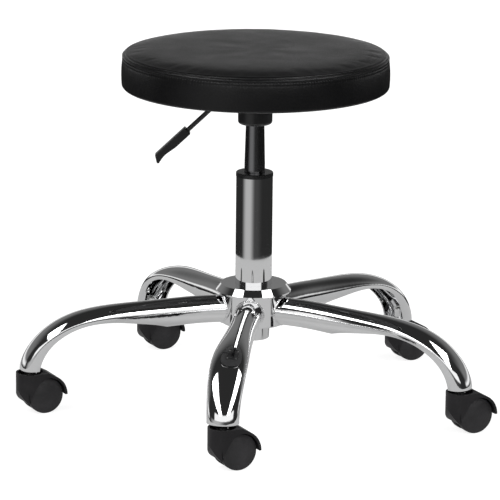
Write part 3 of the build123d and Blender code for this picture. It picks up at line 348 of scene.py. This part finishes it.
def plywood():
    """Sanded birch plywood with long grain on the faces."""
    finish = Finish("plywood")
    grain = finish.noise(24.0, 6.0, 0.65, 0.8, finish.stretched(1.0, 9.0, 30.0))
    pores = finish.noise(210.0, 3.0, 0.6, 0.0, finish.stretched(0.5, 8.0, 8.0))
    finish.set(base_color=finish.blend(grain, rgb(0.42, 0.27, 0.13), rgb(0.70, 0.52, 0.32)))
    finish.set(roughness=finish.remap(pores, 0.3, 0.7, 0.55, 0.75), normal=finish.bumped(pores, 0.0004, 0.3))
    return finish.material


def lining():
    """Black spun cloth under the seat, with a faint square emboss and loose fibres."""
    finish = Finish("dust_cloth")
    fibres = finish.noise(420.0, 5.0, 0.7, 1.5)
    dots = finish.cells(560.0, "F1", randomness=0.15)
    blotch = finish.noise(30.0, 3.0)
    finish.set(base_color=finish.blend(blotch, rgb(0.018, 0.018, 0.019), rgb(0.032, 0.032, 0.033)))
    relief = finish.math("ADD", fibres, finish.math("MULTIPLY", dots, 0.8))
    finish.set(roughness=finish.remap(fibres, 0.3, 0.7, 0.8, 0.95), normal=finish.bumped(relief, 0.0004, 0.6))
    finish.set(sheen_weight=0.2, sheen_roughness=0.5)
    return finish.material


def thread():
    """Twisted black polyester thread."""
    finish = Finish("thread")
    twist = finish.noise(1500.0, 2.0, 0.6)
    finish.set(base_color=finish.blend(twist, rgb(0.004, 0.004, 0.004), rgb(0.009, 0.009, 0.0095)))
    finish.set(roughness=finish.remap(twist, 0.3, 0.7, 0.55, 0.75), normal=finish.bumped(twist, 0.0002, 0.6))
    finish.set(specular_ior_level=0.25)
    return finish.material


FINISHES = {
    "chrome": metal(
        "chrome", rgb(0.93, 0.93, 0.935), rgb(0.87, 0.875, 0.88), 0.02, 0.05, peel=0.006, scratch=0.08
    ),
    "steel": metal("steel", rgb(0.72, 0.72, 0.71), rgb(0.55, 0.55, 0.54), 0.16, 0.30, brushed=0.15),
    "alloy": metal("alloy", rgb(0.78, 0.78, 0.79), rgb(0.66, 0.66, 0.67), 0.2, 0.36, brushed=0.25),
    "brass": metal("brass", rgb(0.80, 0.62, 0.32), rgb(0.62, 0.45, 0.2), 0.16, 0.32, brushed=0.15),
    "black_steel": moulded(
        "black_steel", rgb(0.007, 0.007, 0.0075), rgb(0.013, 0.013, 0.014), 0.3, 0.12, 420.0, coat=0.1
    ),
    "tube_black": metal(
        "tube_black", rgb(0.30, 0.30, 0.31), rgb(0.24, 0.24, 0.25), 0.14, 0.20, peel=0.01, scratch=0.1
    ),
    "guide_plastic": moulded("guide_plastic", rgb(0.007, 0.007, 0.0075), rgb(0.012, 0.012, 0.013), 0.3, 0.08),
    "lever_plastic": moulded(
        "lever_plastic", rgb(0.007, 0.007, 0.0075), rgb(0.012, 0.012, 0.0125), 0.38, 0.2, specular=0.4
    ),
    "caster_plastic": moulded(
        "caster_plastic", rgb(0.0065, 0.006, 0.007), rgb(0.012, 0.011, 0.0125), 0.42, 0.5, 1100.0,
        specular=0.3,
    ),
    "rubber": moulded("rubber", rgb(0.02, 0.02, 0.02), rgb(0.035, 0.034, 0.033), 0.75, 0.4, 600.0),
    "vinyl": vinyl(),
    "foam": foam(),
    "plywood": plywood(),
    "dust_cloth": lining(),
}
THREAD = thread()
WHEEL_FINISH = moulded(
    "wheel_plastic", rgb(0.011, 0.0105, 0.0115), rgb(0.024, 0.023, 0.025), 0.5, 0.9, 420.0, specular=0.35
)

for name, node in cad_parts.items():
    for holder in node.material_slots:
        finish_name = holder.material.name.split(".")[0]
        holder.material = WHEEL_FINISH if name.startswith("wheel") else FINISHES[finish_name]


# ---------------------------------------------------------------- mesh helpers

def grid_piece(name, rings, body, materials, caps=(), pick=None):
    """A mesh from rows of points, each row a closed loop; caps close a row to a middle point."""
    rows, count = rings.shape[0], rings.shape[1]
    points = rings.reshape(-1, 3)
    first = np.arange(rows * count).reshape(rows, count)
    ahead = np.roll(first, -1, axis=1)
    quads = np.stack([first[:-1], first[1:], ahead[1:], ahead[:-1]], axis=-1).reshape(-1, 4)
    faces = quads.tolist()
    verts = points.tolist()
    for row, centre in caps:
        verts.append(list(centre))
        tip = len(verts) - 1
        for index in range(count):
            pair = (int(first[row, index]), int(ahead[row, index]))
            faces.append([tip, pair[0], pair[1]] if row == 0 else [tip, pair[1], pair[0]])
    mesh = bpy.data.meshes.new(name)
    mesh.from_pydata(verts, [], faces)
    mesh.update()
    for material in materials:
        mesh.materials.append(material)
    piece = bpy.data.objects.new(name, mesh)
    scene.collection.objects.link(piece)
    for polygon in mesh.polygons:
        polygon.use_smooth = True
    if pick is not None:
        for polygon in mesh.polygons:
            polygon.material_index = pick(polygon.center)
    face_outward(mesh)
    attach(piece, body)
    return piece


def face_outward(mesh):
    """Turns every face of a closed mesh outward."""
    made = bmesh.new()
    made.from_mesh(mesh)
    bmesh.ops.recalc_face_normals(made, faces=made.faces)
    made.to_mesh(mesh)
    made.free()


def lumps(angle, along, seed, waves, spread):
    """Smooth uneven variation round the seat, from -1 to 1, the same each run."""
    draw = np.random.default_rng(seed)
    total = np.zeros(np.broadcast(angle, along).shape)
    for _ in range(waves):
        turns = draw.integers(1, spread)
        rate = draw.uniform(-60, 60)
        total = total + np.cos(turns * angle + rate * along + draw.uniform(0, TAU)) / math.sqrt(turns)
    return total / np.abs(total).max()


# ---------------------------------------------------------------- seat cushion

cover_low, cover_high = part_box("seat_cover")
board_low, board_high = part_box("seat_board")
cloth_low, cloth_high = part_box("dust_cloth")
SEAT_R = cover_high.x
SEAT_TOP = cover_high.z
SEAT_FOOT = cover_low.z
BOARD_R = board_high.x
CLOTH_R = cloth_high.x
RETURN_R = BOARD_R - 26 * MM
BOLT_FLANGE_R = 7.0 * MM
BOLT_HOLE_R = 3.4 * MM
CUTTER_DEPTH = 10 * MM
EDGE = 7 * MM
FOOT_EDGE = 4 * MM
CROWN = 4.2 * MM
CROWN_POWER = 8.0
SEAM_DROP = 3.0 * MM
STITCH_DROP = 8.4 * MM
SHOULDER_DROP = 13.0 * MM
PUCKER = 0.25
PUCKER_LIMIT = 1.6 * MM
COARSE_COUNT = 120
CLOTH_FRAMES = 20
CLOTH_PRESSURE = 4.0
STITCHES = 270
STEPS_PER_STITCH = 6
THREAD_R = 0.36 * MM
FLAT_MARGIN = 8 * MM
BELLY = 1.3 * MM
HEM_DROP = 5.6 * MM
HEM_HEIGHT = 0.55 * MM
SEAM_DEPTH = 1.0 * MM
ROW_DEPTH = 0.55 * MM
HOLE_DEPTH = 1.2 * MM
FOLDS = 23
FOLD_HEIGHT = 0.9 * MM
POCKET_GAP = 0.08 * MM


def arc(centre, radius, start, end, count):
    angles = np.linspace(start, end, count)
    return [(centre[0] + radius * math.cos(a), centre[1] + radius * math.sin(a)) for a in angles]


def ridge(value, middle, width):
    """A smooth bump of height 1 at the middle."""
    return np.exp(-(((value - middle) / width) ** 2))


def line(start, end, count):
    run, rise = end[0] - start[0], end[1] - start[1]
    return [(start[0] + run * t, start[1] + rise * t) for t in np.linspace(0, 1, count)]


def skin_profile(coarse):
    """The cushion's outer skin, from near the middle of the top over the side to the turned-under edge."""
    top = SEAT_TOP - 0.6 * MM
    outer = SEAT_R - 0.9 * MM
    step = 3 if coarse else 1
    path = line((2 * MM, top), (outer - EDGE, top), 66 // step)[:-1]
    path += arc((outer - EDGE, top - EDGE), EDGE, math.pi / 2, 0, 30 // step)[:-1]
    path += line((outer, top - EDGE), (outer, SEAT_FOOT + FOOT_EDGE), 66 // step)[:-1]
    path += arc((outer - FOOT_EDGE, SEAT_FOOT + FOOT_EDGE), FOOT_EDGE, 0, -math.pi / 2, 15 // step)[:-1]
    path += line((outer - FOOT_EDGE, SEAT_FOOT), (RETURN_R, SEAT_FOOT), 18 // step)
    return np.array(path)


def lathed(profile, count):
    """Points of a profile turned round the axis, as rows of loops."""
    angle = np.linspace(0, TAU, count, False)
    radius, height = profile[:, :1], profile[:, 1:]
    return np.stack([radius * np.cos(angle), radius * np.sin(angle), height + 0 * angle], axis=-1)


def path_length(profile):
    return np.concatenate([[0], np.cumsum(np.hypot(*np.diff(profile, axis=0).T))])


def puffed(profile, count):
    """How far the filled cover moves outward and upward from its cut shape, by cloth simulation."""
    rings = lathed(profile, count)
    rows = rings.shape[0]
    verts = rings.reshape(-1, 3).tolist() + [[0, 0, profile[0, 1]]]
    first = np.arange(rows * count).reshape(rows, count)
    ahead = np.roll(first, -1, axis=1)
    faces = np.stack([first[:-1], first[1:], ahead[1:], ahead[:-1]], axis=-1).reshape(-1, 4).tolist()
    faces += [[rows * count, int(first[0, i]), int(ahead[0, i])] for i in range(count)]
    mesh = bpy.data.meshes.new("filling_trial")
    mesh.from_pydata(verts, [], faces)
    face_outward(mesh)
    trial = bpy.data.objects.new("filling_trial", mesh)
    scene.collection.objects.link(trial)
    drop = SEAT_TOP - profile[:, 1]
    held = (np.abs(drop - STITCH_DROP) < 2.5 * MM) | (drop > SEAT_TOP - SEAT_FOOT - 3 * MM)
    group = trial.vertex_groups.new(name="held")
    group.add([int(i) for row in np.nonzero(held)[0] for i in first[row]], 1.0, "REPLACE")
    cloth = trial.modifiers.new("cloth", "CLOTH")
    cloth.settings.quality = 6
    cloth.settings.mass = 0.4
    cloth.settings.tension_stiffness = 40
    cloth.settings.compression_stiffness = 40
    cloth.settings.shear_stiffness = 20
    cloth.settings.bending_stiffness = 6
    cloth.settings.use_pressure = True
    cloth.settings.uniform_pressure_force = CLOTH_PRESSURE
    cloth.settings.vertex_group_mass = "held"
    cloth.settings.effector_weights.gravity = 0
    cloth.collision_settings.use_collision = False
    for index in range(1, CLOTH_FRAMES + 1):
        scene.frame_set(index)
    ready = trial.evaluated_get(bpy.context.evaluated_depsgraph_get()).to_mesh()
    moved = np.array([v.co for v in ready.vertices], float)[: rows * count].reshape(rows, count, 3)
    scene.frame_set(1)
    bpy.data.objects.remove(trial)
    outward = np.hypot(moved[..., 0], moved[..., 1]) - profile[:, :1]
    upward = moved[..., 2] - profile[:, 1:]
    return outward, upward


def make_cushion():
    count = STITCHES * STEPS_PER_STITCH
    angle = np.linspace(0, TAU, count, False)[None, :]
    profile = skin_profile(False)
    along = path_length(profile)[:, None]
    radius, height = profile[:, :1], profile[:, 1:]
    drop = SEAT_TOP - height
    on_top = np.clip((SEAT_R - FLAT_MARGIN - radius) / (SEAT_R - FLAT_MARGIN), 0, 1)
    outward = np.zeros((len(profile), count))
    upward = CROWN * (1 - (1 - on_top) ** CROWN_POWER) * np.ones((1, count))
    upward[drop[:, 0] > EDGE] = 0
    coarse = skin_profile(True)
    moves = puffed(coarse, COARSE_COUNT)
    where = path_length(coarse)
    for index, field in enumerate(moves):
        field = np.clip(field, -PUCKER_LIMIT, PUCKER_LIMIT)
        field = np.array([np.interp(along[:, 0], where, field[:, k]) for k in range(field.shape[1])]).T
        wrapped = np.concatenate([field, field[:, :1]], axis=1)
        nodes = np.linspace(0, TAU, wrapped.shape[1])
        field = np.array([np.interp(angle[0], nodes, row) for row in wrapped])
        if index == 0:
            outward += field * PUCKER
        else:
            upward += field * PUCKER
    # side band: full below the stitched hem, tucked at seam and stitch row
    side = (drop > EDGE) & (radius > SEAT_R - 2 * MM)
    below = np.clip((drop - SHOULDER_DROP) / (SEAT_TOP - SEAT_FOOT - SHOULDER_DROP), 0, 1)
    belly = np.where(side, BELLY * np.sin(below * math.pi) ** 0.6, 0)
    outward = outward + belly
    hem = HEM_HEIGHT * ridge(drop, HEM_DROP, 2.0 * MM) * (radius > SEAT_R - 5 * MM)
    outward = outward + hem
    seam = SEAM_DEPTH * ridge(drop, SEAM_DROP, 0.75 * MM) * (radius > SEAT_R - FLAT_MARGIN)
    on_side = radius > SEAT_R - 3 * MM
    row_dip = ROW_DEPTH * ridge(drop, STITCH_DROP, 1.4 * MM) * on_side
    phase = angle * STITCHES
    hole = np.clip(np.cos(phase), 0, 1) ** 3 * ridge(drop, STITCH_DROP, 0.7 * MM) * HOLE_DEPTH * on_side
    unevenness = 1 + 0.35 * lumps(angle, along, 5, 10, 60)
    outward = outward - (seam * 0.8 + row_dip) * unevenness - hole
    upward = upward - seam * 0.6
    pucker = ridge(drop, STITCH_DROP + 3.0 * MM, 3.2 * MM) * on_side
    outward = outward + 0.10 * MM * pucker * np.cos(phase + math.pi)
    outward = outward + 0.18 * MM * pucker * lumps(angle, along, 9, 14, 140)
    outward = outward + np.where(side, 0.32 * MM * lumps(angle, along, 2, 16, 26), 0)
    rolling = ridge(radius, SEAT_R - 12 * MM, 16 * MM) * (drop < EDGE)
    upward = upward + 0.30 * MM * rolling * lumps(angle, along, 3, 14, 34)
    broad = 0.35 * MM * lumps(angle, along, 4, 12, 9) * np.clip(radius / 0.05, 0, 1)
    upward = upward + np.where(drop < 2 * MM, broad, 0)
    # turned-under edge: gathered folds outside the lining
    under = (height < SEAT_FOOT + 0.5 * MM) & (radius < SEAT_R - 3 * MM)
    folds = np.abs(np.sin(angle * FOLDS + 2.0 * lumps(angle, along * 0, 7, 8, 12))) ** 0.5 - 0.6
    fade = np.clip((radius - CLOTH_R) / (4 * MM), 0, 1) * np.clip((SEAT_R - 4 * MM - radius) / (6 * MM), 0, 1)
    upward = upward + np.where(under, -FOLD_HEIGHT * folds * fade, 0)
    rings = np.stack(
        [(radius + outward) * np.cos(angle), (radius + outward) * np.sin(angle), height + upward], axis=-1
    )
    # hidden side: round the board's pocket
    pocket_r = BOARD_R + POCKET_GAP
    pocket_floor, pocket_top = board_low.z - POCKET_GAP, board_high.z + POCKET_GAP
    pocket = np.array(
        [(RETURN_R, pocket_floor), (pocket_r, pocket_floor), (pocket_r, pocket_top), (2 * MM, pocket_top)]
    )
    rings = np.concatenate([rings, lathed(pocket, count)], axis=0)
    middle_top = (0, 0, float(rings[0, :, 2].mean()) + 0.01 * MM)
    middle_pocket = (0, 0, pocket_top)

    def pick(centre):
        reach = math.hypot(centre.x, centre.y)
        inside = reach < BOARD_R + 1 * MM and SEAT_FOOT + 0.8 * MM < centre.z < SEAT_TOP - 20 * MM
        return 1 if inside else 0

    cushion = grid_piece(
        "seat_cushion", rings, "seat", [FINISHES["vinyl"], FINISHES["foam"]],
        caps=[(0, middle_top), (rings.shape[0] - 1, middle_pocket)], pick=pick,
    )
    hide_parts("seat_cover", "seat_foam")
    return rings


def make_stitches(rings):
    """Every stitch of the hem: a short thread that dips into its hole at both ends."""
    profile = skin_profile(False)
    row = int(np.argmin(np.abs((SEAT_TOP - profile[:, 1]) - STITCH_DROP) + (profile[:, 0] < SEAT_R - 3 * MM)))
    draw = np.random.default_rng(11)
    made = bmesh.new()
    sides, cuts = 6, 7
    across = Vector((0, 0, 1))
    count = rings.shape[1]
    for index in range(STITCHES):
        start = index * STEPS_PER_STITCH
        lean = draw.uniform(0.15, 0.5) * MM
        height = draw.uniform(0.85, 1.1)
        loops = []
        for cut in range(cuts):
            share = cut / (cuts - 1)
            spot = start + share * STEPS_PER_STITCH
            low = int(spot) % count
            high = (low + 1) % count
            mix = spot - int(spot)
            base = rings[row, low] * (1 - mix) + rings[row, high] * mix
            out = Vector((base[0], base[1], 0)).normalized()
            bow = math.sin(share * math.pi)
            rise = THREAD_R * (1.5 * bow ** 0.5 * height - 0.9)
            centre = Vector(base) + out * rise + Vector((0, 0, lean * (share - 0.5)))
            girth = THREAD_R * (0.55 + 0.45 * bow)
            loop = []
            for side in range(sides):
                a = TAU * side / sides
                point = centre + out * (math.cos(a) * girth) + across * (math.sin(a) * girth)
                loop.append(made.verts.new(point))
            loops.append(loop)
        for before, after in zip(loops, loops[1:]):
            for side in range(sides):
                nxt = (side + 1) % sides
                made.faces.new((before[side], before[nxt], after[nxt], after[side]))
        made.faces.new(loops[0][::-1])
        made.faces.new(loops[-1])
    finished(made, "seat_stitching", "seat", THREAD)


def finished(made, name, body, material):
    """Turns a bmesh into a smooth piece that rides on a body."""
    bmesh.ops.recalc_face_normals(made, faces=made.faces)
    mesh = bpy.data.meshes.new(name)
    made.to_mesh(mesh)
    made.free()
    mesh.materials.append(material)
    for polygon in mesh.polygons:
        polygon.use_smooth = True
    piece = bpy.data.objects.new(name, mesh)
    scene.collection.objects.link(piece)
    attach(piece, body)


cushion_rings = make_cushion()
make_stitches(cushion_rings)


# ---------------------------------------------------------------- lining under the seat

STAPLES = 20
# The cloth lies flat inside this radius, and its edge starts to scallop outside the next one.
FLAT_R = 110 * MM
SCALLOP_R = 140 * MM
SCALLOP_DEPTH = 1.1 * MM
SAG = 0.9 * MM
WAVE = 0.35 * MM


def make_lining():
    """Thin cloth held at its rim by the staples: a little slack between them, with a scalloped edge."""
    count = 240
    inner, outer = np.linspace(2 * MM, FLAT_R - 2 * MM, 12), np.linspace(FLAT_R + 2 * MM, CLOTH_R, 22)
    radii = np.concatenate([inner, outer])[:, None]
    angle = np.linspace(0, TAU, count, False)[None, :]
    between = 0.5 - 0.5 * np.cos(STAPLES * angle)
    edge = np.clip((radii - SCALLOP_R) / (CLOTH_R - SCALLOP_R), 0, 1)
    reach = radii - SCALLOP_DEPTH * edge ** 3 * (1 - between)
    free = np.clip((radii - FLAT_R) / (20 * MM), 0, 1)
    sag = SAG * free * np.sin(np.clip((radii - FLAT_R) / (CLOTH_R - FLAT_R), 0, 1) * math.pi) ** 0.8
    wave = WAVE * free * edge * np.cos(2 * STAPLES * angle + 3 * lumps(angle, radii * 0, 21, 6, 9))
    low = cloth_low.z - sag - np.maximum(wave, -0.1 * MM)
    top = np.minimum(low + (cloth_high.z - cloth_low.z), cloth_high.z)
    lower = np.stack([reach * np.cos(angle), reach * np.sin(angle), low + 0 * angle], axis=-1)
    upper = np.stack([reach * np.cos(angle), reach * np.sin(angle), top + 0 * angle], axis=-1)
    rings = np.concatenate([lower, upper[::-1]], axis=0)
    cloth = grid_piece(
        "underseat_lining", rings, "seat", [FINISHES["dust_cloth"]],
        caps=[(0, (0, 0, cloth_low.z)), (rings.shape[0] - 1, (0, 0, cloth_high.z))],
    )
    bolt_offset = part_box("mounting_bolts")[1].x - BOLT_FLANGE_R
    for x, y in ((1, 1), (1, -1), (-1, 1), (-1, -1)):
        made = bmesh.new()
        bmesh.ops.create_cone(
            made, cap_ends=True, segments=24, radius1=BOLT_HOLE_R, radius2=BOLT_HOLE_R, depth=CUTTER_DEPTH
        )
        bmesh.ops.translate(made, verts=made.verts, vec=(x * bolt_offset, y * bolt_offset, cloth_low.z))
        cutter_mesh = bpy.data.meshes.new("cutter")
        made.to_mesh(cutter_mesh)
        made.free()
        cutter = bpy.data.objects.new("cutter", cutter_mesh)
        scene.collection.objects.link(cutter)
        cut = cloth.modifiers.new("hole", "BOOLEAN")
        cut.operation = "DIFFERENCE"
        cut.solver = "EXACT"
        cut.object = cutter
        settle(cloth)
        bpy.data.objects.remove(cutter)
    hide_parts("dust_cloth")


def settle(piece):
    """Applies a piece's modifiers to its mesh."""
    ready = piece.evaluated_get(bpy.context.evaluated_depsgraph_get())
    mesh = bpy.data.meshes.new_from_object(ready)
    piece.modifiers.clear()
    piece.data = mesh


make_lining()


# ---------------------------------------------------------------- base details

LEG_ANGLES = [math.radians(-90 + 72 * index) for index in range(5)]
HUB_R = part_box("hub_shell")[1].x
# The leg tubes where they meet the hub: their radius and the height of their axis.
LEG_R = 19 * MM
LEG_AXIS = 136.2 * MM
# The weld bead's radius in millimetres, its ripples and how far it stands off the two surfaces.
BEAD_R = 1.25
BEAD_RIPPLES = 38
BEAD_CLEARANCE = 0.1 * MM


def make_welds():
    """A plated weld bead where each leg tube meets the hub, with the ripples of the torch."""
    made = bmesh.new()
    steps, sides = 150, 8
    for number, heading in enumerate(LEG_ANGLES):
        draw = np.random.default_rng(30 + number)
        phase = draw.uniform(0, TAU)
        loops = []
        for step in range(steps):
            a = TAU * step / steps
            ripple = 0.16 * math.cos(BEAD_RIPPLES * a + phase) + 0.12 * math.sin(3 * a + phase)
            girth = (BEAD_R + ripple) * MM
            centre = on_hub(a, LEG_R + BEAD_CLEARANCE, HUB_R + BEAD_CLEARANCE)
            ahead = on_hub(a + 0.01, LEG_R + BEAD_CLEARANCE, HUB_R + BEAD_CLEARANCE)
            tangent = (ahead - centre).normalized()
            out = (centre - Vector((centre.x, 0, LEG_AXIS))).normalized()
            out = (out - tangent * out.dot(tangent)).normalized()
            side_way = tangent.cross(out)
            loop = []
            for side in range(sides):
                b = TAU * side / sides
                point = centre + out * (math.cos(b) * girth) + side_way * (math.sin(b) * girth)
                loop.append(made.verts.new(Matrix.Rotation(heading, 3, "Z") @ point))
            loops.append(loop)
        for step in range(steps):
            before, after = loops[step], loops[(step + 1) % steps]
            for side in range(sides):
                nxt = (side + 1) % sides
                made.faces.new((before[side], before[nxt], after[nxt], after[side]))
    finished(made, "hub_welds", "base", FINISHES["chrome"])


def on_hub(angle, tube_radius, hub_radius):
    """A point of the line where a leg tube along +X meets the hub's side."""
    y = tube_radius * math.cos(angle)
    return Vector((math.sqrt(hub_radius ** 2 - y * y), y, LEG_AXIS + tube_radius * math.sin(angle)))


make_welds()
